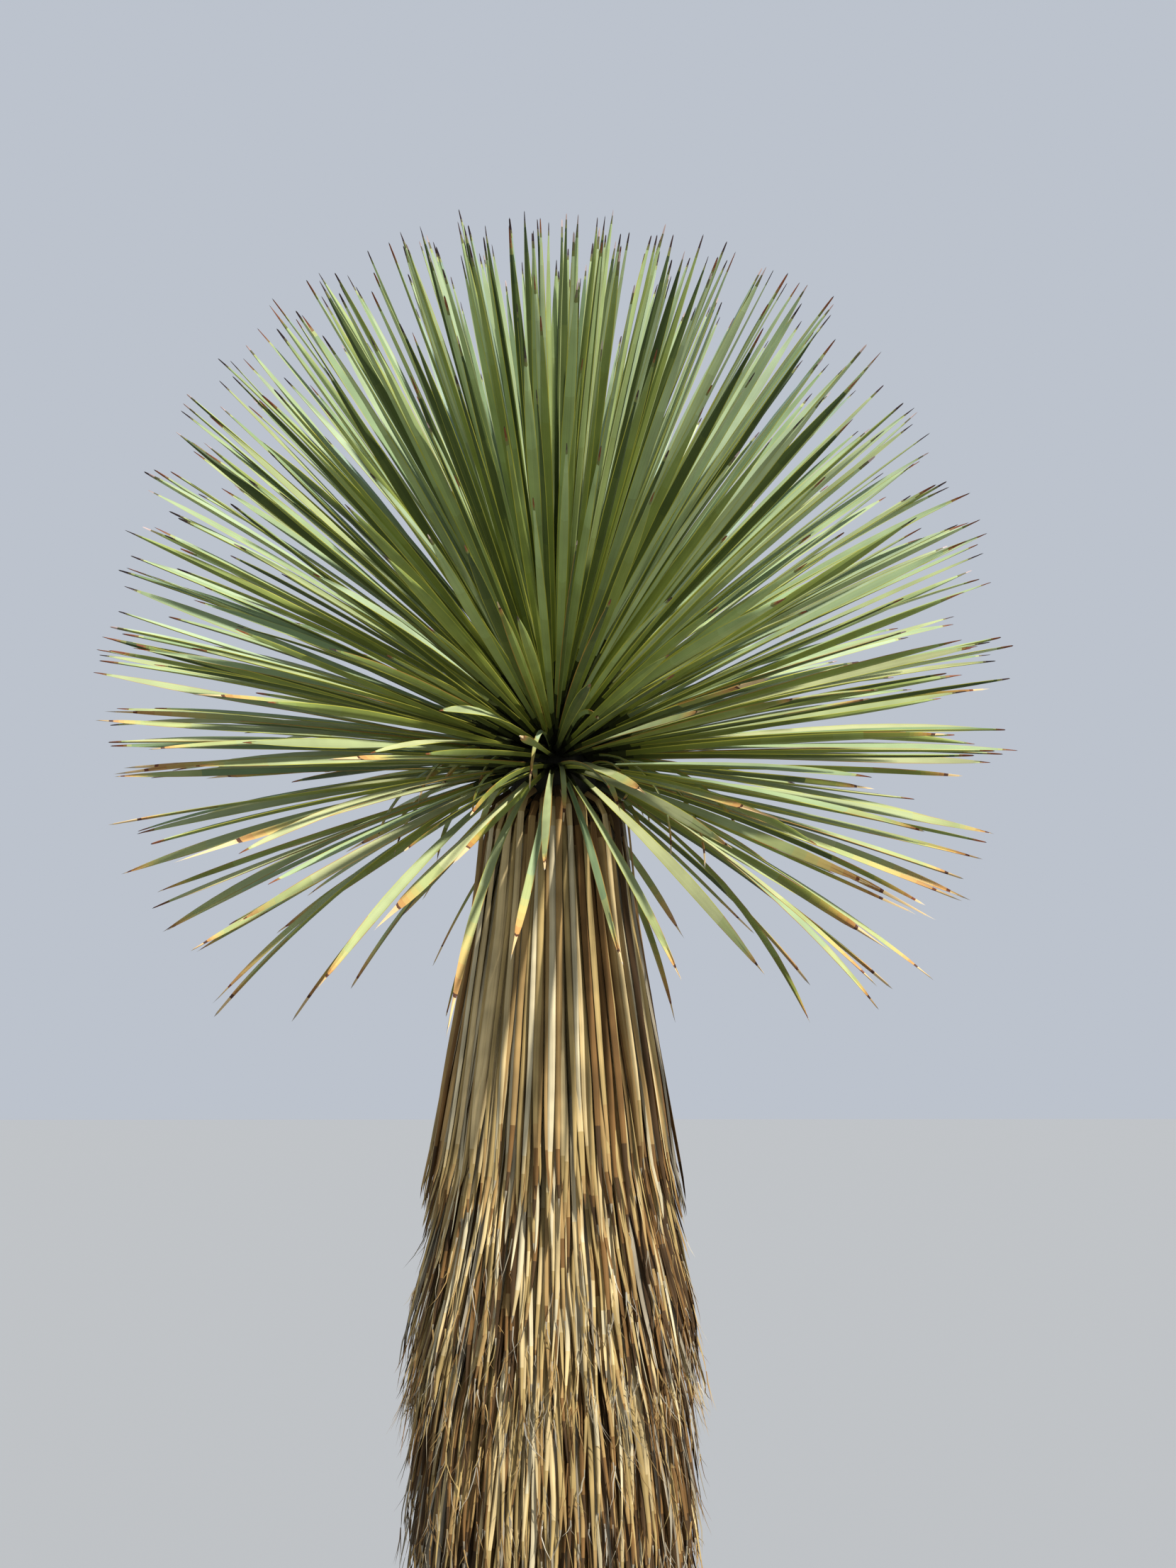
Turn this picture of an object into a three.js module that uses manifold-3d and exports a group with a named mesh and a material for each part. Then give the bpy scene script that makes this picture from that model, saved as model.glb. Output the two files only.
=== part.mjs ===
// A beaked yucca: one upright trunk wrapped in a skirt of dead leaves, under a ball of stiff blades.
// Millimetres and radians, +Z up. The origin is the middle of the flat cut under the trunk.

import * as THREE from 'three';
import { mergeVertices } from 'three/addons/utils/BufferGeometryUtils.js';
import Module from 'manifold-3d';

const wasm = await Module();
wasm.setup();

const radians = THREE.MathUtils.degToRad;

// Driving dimensions

const clearance = 0.3; // between two neighbouring pieces
const trunkGap = 0.45; // between the trunk and what stands round it
const facets = 12; // sides of a whole ring of cores. The trunk has twice as many.

// The woody trunk, from the flared foot to the flat top that carries the youngest blades.
const trunk = {
	outline: [ // height, radius
		[ 0, 132 ], [ 45, 118 ], [ 130, 102 ], [ 320, 92 ], [ 1100, 80 ], [ 1900, 65 ]
	]
};

// The leafy end of the trunk. Its sheath is the layer of clasping leaf bases.
const shoot = {
	foot: 1945,
	height: 205,
	heightPower: 0.8, // sets how the blades crowd towards the tip
	footRadius: 76,
	tipRadius: 16,
	radiusPower: 0.42, // sets how blunt the tip is
	sheath: 14,
	crest: 6, // the bud over the top of the sheath
	crestWidth: 0.7 // as a share of the sheath's
};

// One living blade in full size, and how many the plant carries.
const blade = {
	count: 680,
	kept: 0.64, // share of the blades that these solids carry, evenly from every side
	width: 22,
	thickness: 7,
	straightRings: [ [ 0, 0.5, 0.7 ], [ 0.5, 1, 1 ] ], // shares of the length, width and thickness
	bentRings: [ [ 0, 0.5, 0.7 ], [ 0.34, 1, 1 ], [ 0.68, 0.85, 0.9 ] ],
	bentFrom: radians( 22 ), // a blade that bends more has the bent rings
	facing: 0.4, // share of its length where the solid is turned just as the real blade is
	rootDepth: 9,
	rootAside: 7.1, // a root's middle, from the sides of its mass
	rootEdge: 5.5, // and from the mass's lower and upper edge
	steepRootEdge: 8, // more of it, at most, under the upper edge for an upright blade
	lengths: [ [ 0, 580 ], [ 0.04, 645 ], [ 0.3, 662 ], [ 0.75, 616 ], [ 1, 560 ] ], // place, length
	lengthSpread: 0.028
};

// How the blades stand round the shoot, and the play from one to the next.
const stance = {
	turn: radians( 263 ), // of the whole spiral, so that few of the lowest blades hang over the front
	turnPlay: radians( 3 ),
	sink: 1.28, // the sine of a blade's rise falls from 1 by sink * place ** sinkPower
	sinkPower: 1.38,
	droop: 0.42, // and by droop * place ** droopPower, which only the lowest blades feel
	droopPower: 16,
	risePlay: radians( 4 ),
	sag: radians( 3 ), // of every blade between its root and its tip
	levelSag: radians( 9 ), // more of it, at most, on a level blade
	lowest: radians( - 24 ), // that a blade leaves the shoot at, so that it clears the skirt
	lowestPlay: radians( 6 ),
	roll: radians( 26 ),
	twist: [ radians( 25 ), radians( 85 ) ],
	rightHanded: 0.5, // share of the blades that twist that way
	sunward: 0.35 // more of them, at most, where that turns the upper faces to the sunny side
};

// Bands of the crown from the growing tip down: the place where each ends, and its masses round the trunk.
const bands = [
	{ name: 'tip', end: 0.06, masses: 1 },
	{ name: 'upper', end: 0.28, masses: 4 },
	{ name: 'middle', end: 0.6, masses: 6 },
	{ name: 'lower', end: 0.87, masses: 6 },
	{ name: 'drooping', end: 1, masses: 6 }
];

// The skirt of dead leaves: its outer outline, and its tiers from the newest down.
const skirt = {
	outline: [ // height, radius
		[ 60, 184 ], [ 400, 196 ], [ 840, 207 ], [ 1060, 215 ], [ 1355, 187 ],
		[ 1500, 165 ], [ 1745, 124 ], [ 1890, 110 ], [ 1915, 92 ]
	],
	tiers: [
		{ name: 'new', top: 1915, foot: 1410, tuck: 0, straps: 6 },
		{ name: 'weathered', top: 1409.4, foot: 960, tuck: 14, straps: 7 },
		{ name: 'old', top: 959.4, foot: 510, tuck: 14, straps: 7 },
		{ name: 'foot', top: 509.4, foot: 95, tuck: 14, straps: 7 }
	],
	masses: 6, // round each tier
	sideGap: radians( 4.6 ), // from a mass's side to the middle of its nearest strap
	bury: 14, // from the outline in to the dense core
	tuckPower: 1.5, // a tier's tuck fades down its height by this
	strapWidth: 15.5,
	strapThickness: 6,
	strapRoot: [ 18, 48 ], // below its tier's top
	strapRootWidth: 9.3,
	strapRootDepth: 9,
	standOff: [ 8, 11 ], // of a strap's middle from its tier's core
	lean: radians( 1.2 ), // round the trunk, over a strap's length
	overhang: [ 45, 120 ], // of a strap's tip past its tier's foot
	tipPlay: 4, // in and out
	groundGap: 14
};

const goldenAngle = Math.PI * ( 3 - Math.sqrt( 5 ) );

const colours = {
	bark: new THREE.MeshStandardMaterial( { color: 0x6f5d48, roughness: 0.95, metalness: 0 } ),
	blade: new THREE.MeshStandardMaterial( { color: 0x8c9a68, roughness: 0.6, metalness: 0 } ),
	oldBlade: new THREE.MeshStandardMaterial( { color: 0xa39c63, roughness: 0.65, metalness: 0 } ),
	straw: new THREE.MeshStandardMaterial( { color: 0xb9935c, roughness: 0.85, metalness: 0 } ),
	greyStraw: new THREE.MeshStandardMaterial( { color: 0x94806a, roughness: 0.9, metalness: 0 } )
};

// Small helpers

// A repeatable number from 0 to 1 for one blade or strap. Each channel is a draw of its own.
function draw( index, channel ) {

	const value = Math.sin( index * 12.9898 + channel * 78.233 ) * 43758.5453;
	return value - Math.floor( value );

}

// The same from -1 to 1.
function swing( index, channel ) {

	return 2 * draw( index, channel ) - 1;

}

// Reads a table of [ place, value ] pairs at x, along straight lines.
function read( table, x ) {

	let n = 1;
	while ( n < table.length - 1 && x > table[ n ][ 0 ] ) n ++;
	const [ x0, y0 ] = table[ n - 1 ];
	const [ x1, y1 ] = table[ n ];
	const share = THREE.MathUtils.clamp( ( x - x0 ) / ( x1 - x0 ), 0, 1 );
	return y0 + share * ( y1 - y0 );

}

// A closed solid from plain vertices and triangles.
function solidFrom( positions, triangles ) {

	const geometry = new THREE.BufferGeometry();
	geometry.setAttribute( 'position', new THREE.Float32BufferAttribute( positions, 3 ) );
	geometry.setIndex( triangles );
	return solidOf( geometry );

}

function solidOf( geometry ) {

	const bare = geometry.clone();
	bare.deleteAttribute( 'normal' );
	bare.deleteAttribute( 'uv' );
	const merged = mergeVertices( bare, 1e-3 );
	return new wasm.Manifold( new wasm.Mesh( {
		numProp: 3,
		vertProperties: merged.attributes.position.array,
		triVerts: new Uint32Array( merged.index.array )
	} ) );

}

// The joined solid as a geometry, without any scrap that came loose from its largest body.
function geometryOf( solid ) {

	const largest = solid.decompose().sort( ( a, b ) => b.volume() - a.volume() )[ 0 ];
	const mesh = largest.getMesh();
	const geometry = new THREE.BufferGeometry();
	geometry.setAttribute( 'position', new THREE.BufferAttribute( mesh.vertProperties, 3 ) );
	geometry.setIndex( new THREE.BufferAttribute( mesh.triVerts, 1 ) );
	geometry.computeVertexNormals();
	return geometry;

}

// A piece of a ring round the Z axis. levels go upwards as { z, inner, outer }.
function wedge( levels, start, end ) {

	const steps = Math.round( ( end - start ) * facets / ( 2 * Math.PI ) );
	const spread = 1 / Math.cos( Math.PI / facets ); // keeps the flat inner sides off the trunk
	const slit = clearance / levels[ levels.length - 1 ].inner;
	const positions = [];
	for ( let j = 0; j <= steps; j ++ ) {

		let angle = start + ( end - start ) * j / steps;
		if ( j === 0 ) angle += slit;
		if ( j === steps ) angle -= slit;
		for ( const { z, inner, outer } of levels ) {

			positions.push( outer * Math.cos( angle ), outer * Math.sin( angle ), z );
			positions.push( spread * inner * Math.cos( angle ), spread * inner * Math.sin( angle ), z );

		}

	}

	const outer = ( i, j ) => 2 * ( j * levels.length + i );
	const inner = ( i, j ) => outer( i, j ) + 1;
	const triangles = [];
	const quad = ( a, b, c, d ) => triangles.push( a, b, c, a, c, d );
	const top = levels.length - 1;
	for ( let j = 0; j < steps; j ++ ) {

		for ( let i = 0; i < top; i ++ ) {

			quad( outer( i, j ), outer( i, j + 1 ), outer( i + 1, j + 1 ), outer( i + 1, j ) );
			quad( inner( i, j + 1 ), inner( i, j ), inner( i + 1, j ), inner( i + 1, j + 1 ) );

		}

		quad( outer( top, j ), outer( top, j + 1 ), inner( top, j + 1 ), inner( top, j ) );
		quad( inner( 0, j ), inner( 0, j + 1 ), outer( 0, j + 1 ), outer( 0, j ) );

	}

	for ( let i = 0; i < top; i ++ ) {

		quad( inner( i, 0 ), outer( i, 0 ), outer( i + 1, 0 ), inner( i + 1, 0 ) );
		quad( outer( i, steps ), inner( i, steps ), inner( i + 1, steps ), outer( i + 1, steps ) );

	}

	return solidFrom( positions, triangles );

}

// A three-sided blade through rings of { centre, across, normal, width, thickness }, closed by a point.
function taper( rings, tip ) {

	const positions = [];
	for ( const { centre, across, normal, width, thickness } of rings ) {

		const face = centre.clone().addScaledVector( normal, thickness / 3 );
		const right = face.clone().addScaledVector( across, width / 2 );
		const left = face.clone().addScaledVector( across, - width / 2 );
		const keel = centre.clone().addScaledVector( normal, - 2 * thickness / 3 );
		positions.push( ...right, ...left, ...keel );

	}

	positions.push( ...tip );
	const triangles = [ 0, 2, 1 ];
	const last = 3 * ( rings.length - 1 );
	for ( let k = 0; k < 3; k ++ ) {

		const next = ( k + 1 ) % 3;
		for ( let ring = 0; ring < last; ring += 3 ) {

			triangles.push( ring + k, ring + next, ring + 3 + next );
			triangles.push( ring + k, ring + 3 + next, ring + 3 + k );

		}

		triangles.push( last + k, last + next, last + 3 );

	}

	return solidFrom( positions, triangles );

}

// Trunk

function trunkRadius( height ) {

	if ( height > shoot.foot ) return sheathRadius( placeAt( height - shoot.foot ) ) - shoot.sheath;
	return read( [ ...trunk.outline, [ shoot.foot, shoot.footRadius - shoot.sheath ] ], height );

}

function makeTrunk() {

	const top = shoot.foot + heightAt( bands[ 0 ].end ) - clearance;
	const heights = [ ...trunk.outline.map( ( [ z ] ) => z ), shoot.foot ];
	for ( const { end } of bands.slice( 1, - 1 ).reverse() ) heights.push( shoot.foot + heightAt( end ) );
	heights.push( top );
	const profile = heights.map( ( z ) => new THREE.Vector2( trunkRadius( z ), z ) );
	profile.unshift( new THREE.Vector2( 0, 0 ) );
	profile.push( new THREE.Vector2( 0, top ) );
	const geometry = new THREE.LatheGeometry( profile, 2 * facets ).rotateX( Math.PI / 2 );
	const mesh = new THREE.Mesh( geometryOf( solidOf( geometry ) ), colours.bark );
	mesh.name = 'trunk';
	return mesh;

}

// Crown. A blade's place runs from 0 at the growing tip to 1 at the foot of the shoot.

function heightAt( place ) {

	return shoot.height * ( 1 - place ** shoot.heightPower );

}

function placeAt( height ) {

	return ( 1 - height / shoot.height ) ** ( 1 / shoot.heightPower );

}

function sheathRadius( place ) {

	return shoot.tipRadius + ( shoot.footRadius - shoot.tipRadius ) * place ** shoot.radiusPower;

}

// Where blade number i grows, how it leaves the shoot, and how it bends and turns on its way out.
function bladeRule( i ) {

	const place = ( i + 0.5 ) / blade.count;
	const fall = stance.sink * place ** stance.sinkPower + stance.droop * place ** stance.droopPower;
	const rise = Math.asin( 1 - fall );
	const chord = rise + stance.risePlay * swing( i, 1 );
	const sag = stance.sag + stance.levelSag * Math.cos( rise ) * draw( i, 2 );
	const leave = Math.max( chord + sag / 2, stance.lowest - stance.lowestPlay * draw( i, 7 ) );
	const azimuth = stance.turn + i * goldenAngle + stance.turnPlay * swing( i, 3 );
	const twist = THREE.MathUtils.lerp( ...stance.twist, draw( i, 8 ) );
	const rightHanded = stance.rightHanded + stance.sunward * Math.cos( azimuth );
	return {
		place,
		azimuth,
		leave,
		bend: 2 * ( leave - chord ),
		roll: stance.roll * swing( i, 4 ),
		twist: draw( i, 5 ) < rightHanded ? twist : - twist,
		length: read( blade.lengths, place ) * ( 1 + blade.lengthSpread * swing( i, 6 ) )
	};

}

// A point of the blade and the axes of its section there, at a share of its length.
function bladeFrame( rule, root, share ) {

	const { azimuth, leave, bend, roll, twist, length } = rule;
	const rise = leave - bend * share;
	const out = length * ( Math.sin( leave ) - Math.sin( rise ) ) / bend;
	const up = length * ( Math.cos( rise ) - Math.cos( leave ) ) / bend;
	const outward = new THREE.Vector3( Math.cos( azimuth ), Math.sin( azimuth ), 0 );
	const along = outward.clone().multiplyScalar( Math.cos( rise ) ).setZ( Math.sin( rise ) );
	const across = new THREE.Vector3( - Math.sin( azimuth ), Math.cos( azimuth ), 0 );
	across.applyAxisAngle( along, roll + twist * share );
	const centre = root.clone().addScaledVector( outward, out );
	centre.z += up;
	return { centre, across, normal: along.clone().cross( across ) };

}

// The blade's root stands in the core of its own mass, drawn in from the core's edges.
function rootOf( rule, mass ) {

	const radius = sheathRadius( rule.place ) - blade.rootDepth;
	const margin = Math.asin( Math.min( 0.9, blade.rootAside / radius ) );
	const half = Math.PI / mass.band.masses;
	const turned = rule.azimuth - mass.azimuth + Math.PI;
	let aside = THREE.MathUtils.euclideanModulo( turned, 2 * Math.PI ) - Math.PI;
	if ( mass.band.masses > 1 ) aside *= ( half - margin ) / half;
	const angle = mass.azimuth + aside;
	const share = ( rule.place - mass.start ) / ( mass.band.end - mass.start );
	const low = heightAt( mass.band.end ) + blade.rootEdge;
	const steep = Math.max( 0, Math.sin( rule.leave ) );
	const high = heightAt( mass.start ) - blade.rootEdge - blade.steepRootEdge * steep;
	const height = high + ( low - high ) * share;
	return new THREE.Vector3( radius * Math.cos( angle ), radius * Math.sin( angle ), height );

}

function bladeSolid( rule, root ) {

	const { across, normal } = bladeFrame( rule, root, blade.facing );
	const shape = rule.bend > blade.bentFrom ? blade.bentRings : blade.straightRings;
	const rings = shape.map( ( [ share, width, thickness ] ) => ( {
		centre: bladeFrame( rule, root, share ).centre,
		across,
		normal,
		width: blade.width * width,
		thickness: blade.thickness * thickness
	} ) );
	return taper( rings, bladeFrame( rule, root, 1 ).centre );

}

function massesOf( band, start ) {

	const masses = [];
	for ( let n = 0; n < band.masses; n ++ ) {

		const name = band.masses > 1 ? `crown_${ band.name }_${ n + 1 }` : `crown_${ band.name }`;
		const azimuth = band.masses > 1 ? ( n + 0.5 ) * 2 * Math.PI / band.masses : 0;
		masses.push( { name, band, start, azimuth, core: coreOf( band, start, azimuth ), blades: [] } );

	}

	return masses;

}

// The part of the sheath that a mass stands on: a cap over the trunk's top, or a piece of ring round it.
function coreOf( band, start, azimuth ) {

	const low = heightAt( band.end );
	if ( band.masses === 1 ) {

		const profile = [
			[ 0, low ],
			[ sheathRadius( band.end ), low ],
			[ sheathRadius( band.end / 3 ), heightAt( band.end / 3 ) ],
			[ shoot.tipRadius * shoot.crestWidth, shoot.height ],
			[ 0, shoot.height + shoot.crest ]
		].map( ( [ r, z ] ) => new THREE.Vector2( r, z ) );
		return solidOf( new THREE.LatheGeometry( profile, facets ).rotateX( Math.PI / 2 ) );

	}

	const levels = [ band.end, start ].map( ( place ) => ( {
		z: heightAt( place ),
		inner: sheathRadius( place ) - shoot.sheath + trunkGap,
		outer: sheathRadius( place )
	} ) );
	levels[ levels.length - 1 ].z -= clearance;
	const half = Math.PI / band.masses;
	return wedge( levels, azimuth - half, azimuth + half );

}

// True where a blade keeps clear of all that other masses hold already.
function keepsClear( solid, mass, masses ) {

	return masses.every( ( other ) => other === mass ||
		[ other.core, ...other.blades ].every( ( piece ) => solid.minGap( piece, clearance ) >= clearance ) );

}

function makeCrown() {

	const masses = [];
	let start = 0;
	for ( const band of bands ) {

		masses.push( ...massesOf( band, start ) );
		start = band.end;

	}

	for ( let i = 0; i < blade.count; i ++ ) {

		if ( Math.floor( ( i + 1 ) * blade.kept ) === Math.floor( i * blade.kept ) ) continue;
		const rule = bladeRule( i );
		const mass = massAt( rule, masses );
		const solid = bladeSolid( rule, rootOf( rule, mass ) );
		if ( keepsClear( solid, mass, masses ) ) mass.blades.push( solid );

	}

	const crown = new THREE.Group();
	crown.position.z = shoot.foot;
	for ( const { name, band, core, blades } of masses ) {

		const joined = wasm.Manifold.union( [ core, ...blades ] );
		const material = band.name === 'drooping' ? colours.oldBlade : colours.blade;
		const mesh = new THREE.Mesh( geometryOf( joined ), material );
		mesh.name = name;
		crown.add( mesh );

	}

	return crown;

}

function massAt( rule, masses ) {

	const inBand = masses.filter( ( { band, start } ) => rule.place >= start && rule.place < band.end );
	const turn = THREE.MathUtils.euclideanModulo( rule.azimuth, 2 * Math.PI ) / ( 2 * Math.PI );
	return inBand[ Math.floor( turn * inBand.length ) ];

}

// Skirt. Each tier's core is tucked in at its top, under the strap tips of the tier above.

function tierRadius( tier, height ) {

	const down = ( tier.top - height ) / ( tier.top - tier.foot );
	return read( skirt.outline, height ) - skirt.bury - tier.tuck * Math.max( 0, 1 - down ) ** skirt.tuckPower;

}

function tierCore( tier, half ) {

	const inside = [ ...skirt.outline, ...trunk.outline ].map( ( [ z ] ) => z );
	const heights = [ tier.foot, ...inside.filter( ( z ) => z > tier.foot && z < tier.top ), tier.top ];
	heights.sort( ( a, b ) => a - b );
	const levels = heights.map( ( z ) => ( {
		z: z - tier.foot,
		inner: trunkRadius( z ) + trunkGap,
		outer: tierRadius( tier, z )
	} ) );
	return wedge( levels, - half, half );

}

function strapSolid( tier, seed, angle ) {

	const rooted = tier.top - THREE.MathUtils.lerp( ...skirt.strapRoot, draw( seed, 1 ) );
	const overhang = THREE.MathUtils.lerp( ...skirt.overhang, draw( seed, 2 ) );
	const tipHeight = Math.max( tier.foot - overhang, skirt.groundGap );
	const middle = ( rooted + tipHeight ) / 2;
	const lean = skirt.lean * swing( seed, 3 );
	const point = ( radius, height, turn ) => new THREE.Vector3(
		radius * Math.cos( turn ), radius * Math.sin( turn ), height - tier.foot );
	const ring = ( radius, height, turn, width ) => ( {
		centre: point( radius, height, turn ),
		across: new THREE.Vector3( - Math.sin( turn ), Math.cos( turn ), 0 ),
		normal: new THREE.Vector3( Math.cos( turn ), Math.sin( turn ), 0 ),
		width,
		thickness: skirt.strapThickness
	} );
	const outline = ( height ) => read( skirt.outline, Math.max( height, skirt.outline[ 0 ][ 0 ] ) );
	const inside = tierRadius( tier, rooted ) - skirt.strapRootDepth;
	const root = ring( inside, rooted, angle, skirt.strapRootWidth );
	const standOff = THREE.MathUtils.lerp( ...skirt.standOff, draw( seed, 4 ) );
	const belly = ring( tierRadius( tier, middle ) + standOff, middle, angle + lean / 2, skirt.strapWidth );
	const tip = point( outline( tipHeight ) + skirt.tipPlay * swing( seed, 5 ), tipHeight, angle + lean );
	return taper( [ root, belly ], tip );

}

function makeSkirt() {

	const group = new THREE.Group();
	const half = Math.PI / skirt.masses;
	skirt.tiers.forEach( ( tier, row ) => {

		for ( let n = 0; n < skirt.masses; n ++ ) {

			const pieces = [ tierCore( tier, half ) ];
			for ( let k = 0; k < tier.straps; k ++ ) {

				const seed = 1000 + 100 * row + tier.straps * n + k;
				const angle = ( half - skirt.sideGap ) * ( 2 * k / ( tier.straps - 1 ) - 1 );
				pieces.push( strapSolid( tier, seed, angle ) );

			}

			const material = row < 2 ? colours.straw : colours.greyStraw;
			const mesh = new THREE.Mesh( geometryOf( wasm.Manifold.union( pieces ) ), material );
			mesh.name = `skirt_${ tier.name }_${ n + 1 }`;
			mesh.position.z = tier.foot;
			mesh.rotation.z = ( 2 * n + 1 ) * half;
			group.add( mesh );

		}

	} );
	return group;

}

const plant = new THREE.Group();
plant.add( makeTrunk(), makeCrown(), makeSkirt() );

export default plant;
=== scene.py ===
import math

import bpy
import numpy as np
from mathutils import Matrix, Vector, noise


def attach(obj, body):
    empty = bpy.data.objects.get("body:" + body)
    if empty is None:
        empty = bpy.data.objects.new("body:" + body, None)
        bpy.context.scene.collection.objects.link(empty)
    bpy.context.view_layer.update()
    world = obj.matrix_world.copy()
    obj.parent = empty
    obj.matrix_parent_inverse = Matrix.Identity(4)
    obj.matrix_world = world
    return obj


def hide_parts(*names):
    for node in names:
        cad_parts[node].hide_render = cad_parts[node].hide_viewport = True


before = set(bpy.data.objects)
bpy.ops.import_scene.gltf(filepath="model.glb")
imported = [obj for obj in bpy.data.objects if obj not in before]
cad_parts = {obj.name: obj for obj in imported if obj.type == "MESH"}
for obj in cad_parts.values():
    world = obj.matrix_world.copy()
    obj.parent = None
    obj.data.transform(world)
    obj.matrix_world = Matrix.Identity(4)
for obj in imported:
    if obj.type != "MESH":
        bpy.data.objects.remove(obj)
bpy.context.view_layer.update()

goldenAngle = math.pi * (3 - math.sqrt(5))
radians = math.radians


def draw(index, channel):  # a repeatable number from 0 to 1, each channel a draw of its own
    # these three numbers have no meaning, but a change of one redraws the whole plant
    value = math.sin(index * 12.9898 + channel * 78.233) * 43758.5453
    return value - math.floor(value)


def swing(index, channel):  # the same from -1 to 1
    return 2 * draw(index, channel) - 1


def pick(table, index, channel):  # draws one name from pairs of name and share
    left = draw(index, channel) * sum(share for name, share in table)
    for name, share in table:
        left -= share
        if left <= 0:
            return name
    return table[-1][0]


def mix(pair, share):  # from the first of the pair to the second
    return pair[0] + (pair[1] - pair[0]) * share


def grow(pair, share):  # the first of the pair, and a share of the second more
    return pair[0] + pair[1] * share


# Finishes. Every one is built from nodes, and its tones lie close to the one named here.

grainSettings = {
    "streakDetail": 1.5,
    "streakShare": 0.6,  # of the streaks, beside the blotches
    "blotchScale": 16,
    "blotchDetail": 2,
    "darkUpTo": 0.55,  # the two together, where the darkest tone ends
    "ridgeHeight": 0.0006,
    "specular": 0.22,
}
strawGrain = {"streak": (480, 5), "bump": 0.3}
finishSettings = {
    # living blades, seen from above
    "sageTop": {"tone": (142, 159, 118)},
    "paleTop": {"tone": (153, 169, 134)},
    "deepTop": {"tone": (124, 144, 104)},
    "blueTop": {"tone": (142, 162, 144)},
    "limeTop": {"tone": (150, 160, 114)},
    "wheatTop": {"tone": (162, 166, 120)},
    "paleMargin": {"tone": (166, 174, 116)},
    "lemonMargin": {"tone": (166, 164, 66)},
    "amberMargin": {"tone": (158, 120, 54)},
    # painted shade at a blade's root, for the hub's shadow, then painted half shade outward
    "paintedShadeBase": {"tone": (40, 42, 20), "rough": 0.7},
    "paintedHalfShadeBase": {"tone": (62, 68, 32)},
    # a living blade's end
    "tipLime": {"tone": (154, 162, 108)},
    "tipOlive": {"tone": (108, 112, 60)},
    "tipDusk": {"tone": (104, 98, 70)},
    "tipRust": {"tone": (122, 92, 50)},
    "rustBrown": {"tone": (116, 66, 38)},
    "spineBrown": {"tone": (60, 44, 44), "rough": 0.5},
    "spineLilac": {"tone": (184, 160, 154)},
    # a dead end, and the scar where it begins
    "scarBrown": {"tone": (84, 54, 38), "rough": 0.7},
    "creamEnd": {"tone": (200, 174, 128), "rough": 0.7},
    "silverEnd": {"tone": (176, 165, 146), "rough": 0.7},
    # dead leaves
    "paleStraw": {"tone": (190, 177, 142), "rough": 0.75, "spread": 0.28, **strawGrain},
    "goldStraw": {"tone": (184, 163, 117), "rough": 0.75, "spread": 0.3, **strawGrain},
    "khakiStraw": {"tone": (158, 135, 86), "rough": 0.75, "spread": 0.28, **strawGrain},
    "tanStraw": {"tone": (150, 122, 76), "rough": 0.8, "spread": 0.3, **strawGrain},
    "brownStraw": {"tone": (108, 79, 43), "rough": 0.85, "spread": 0.32, **strawGrain},
    "darkStraw": {"tone": (66, 48, 27), "rough": 0.85, "spread": 0.32, **strawGrain},
    "greyStraw": {"tone": (138, 128, 108), "rough": 0.85, "spread": 0.3, **strawGrain},
    "silverStraw": {"tone": (170, 163, 146), "rough": 0.85, "spread": 0.28, **strawGrain},
}
# Tones that follow one another along a blade: how many steps, then the tones by share of the way. Most
# green under ramps are paler outward: painted shade near the root, where neighbours shade a blade, and
# painted light further out.
rampSettings = {
    "paleUnder": (5, [(0, (168, 179, 134)), (1, (172, 184, 140))]),
    "greyUnder": (5, [(0, (128, 138, 96)), (1, (166, 181, 134))]),
    "sageUnder": (5, [(0, (132, 143, 82)), (1, (156, 173, 118))]),
    "oliveUnder": (5, [(0, (116, 124, 48)), (1, (126, 140, 78))]),
    "deepUnder": (5, [(0, (90, 99, 42)), (1, (56, 70, 34))]),
    "topDrying": (6, [(0, (152, 160, 106)), (0.35, (170, 162, 98)), (0.7, (184, 156, 92)),
                      (1, (174, 132, 78))]),
    "underDrying": (6, [(0, (118, 124, 56)), (0.35, (144, 134, 62)), (0.7, (164, 134, 66)),
                        (1, (150, 108, 58))]),
}
rampRough = 0.57


def linear(tone):  # from the 0 to 255 that a colour picker shows
    return [((t / 255 + 0.055) / 1.055) ** 2.4 if t > 10 else t / 3294 for t in tone] + [1]


def newFinish(name):
    finish = bpy.data.materials.new(name)
    finish.use_nodes = True
    nodes = finish.node_tree.nodes
    return finish, nodes, finish.node_tree.links.new, nodes["Principled BSDF"]


def addNoise(nodes, scale, detail):
    node = nodes.new("ShaderNodeTexNoise")
    node.inputs["Scale"].default_value = scale
    node.inputs["Detail"].default_value = detail
    return node


def addRamp(nodes, *stops):  # pairs of position and colour
    node = nodes.new("ShaderNodeValToRGB")
    for element, (position, colour) in zip(node.color_ramp.elements, stops):
        element.position = position
        element.color = colour
    return node


def addBump(nodes, strength, distance):
    node = nodes.new("ShaderNodeBump")
    node.inputs["Strength"].default_value = strength
    node.inputs["Distance"].default_value = distance
    return node


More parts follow.
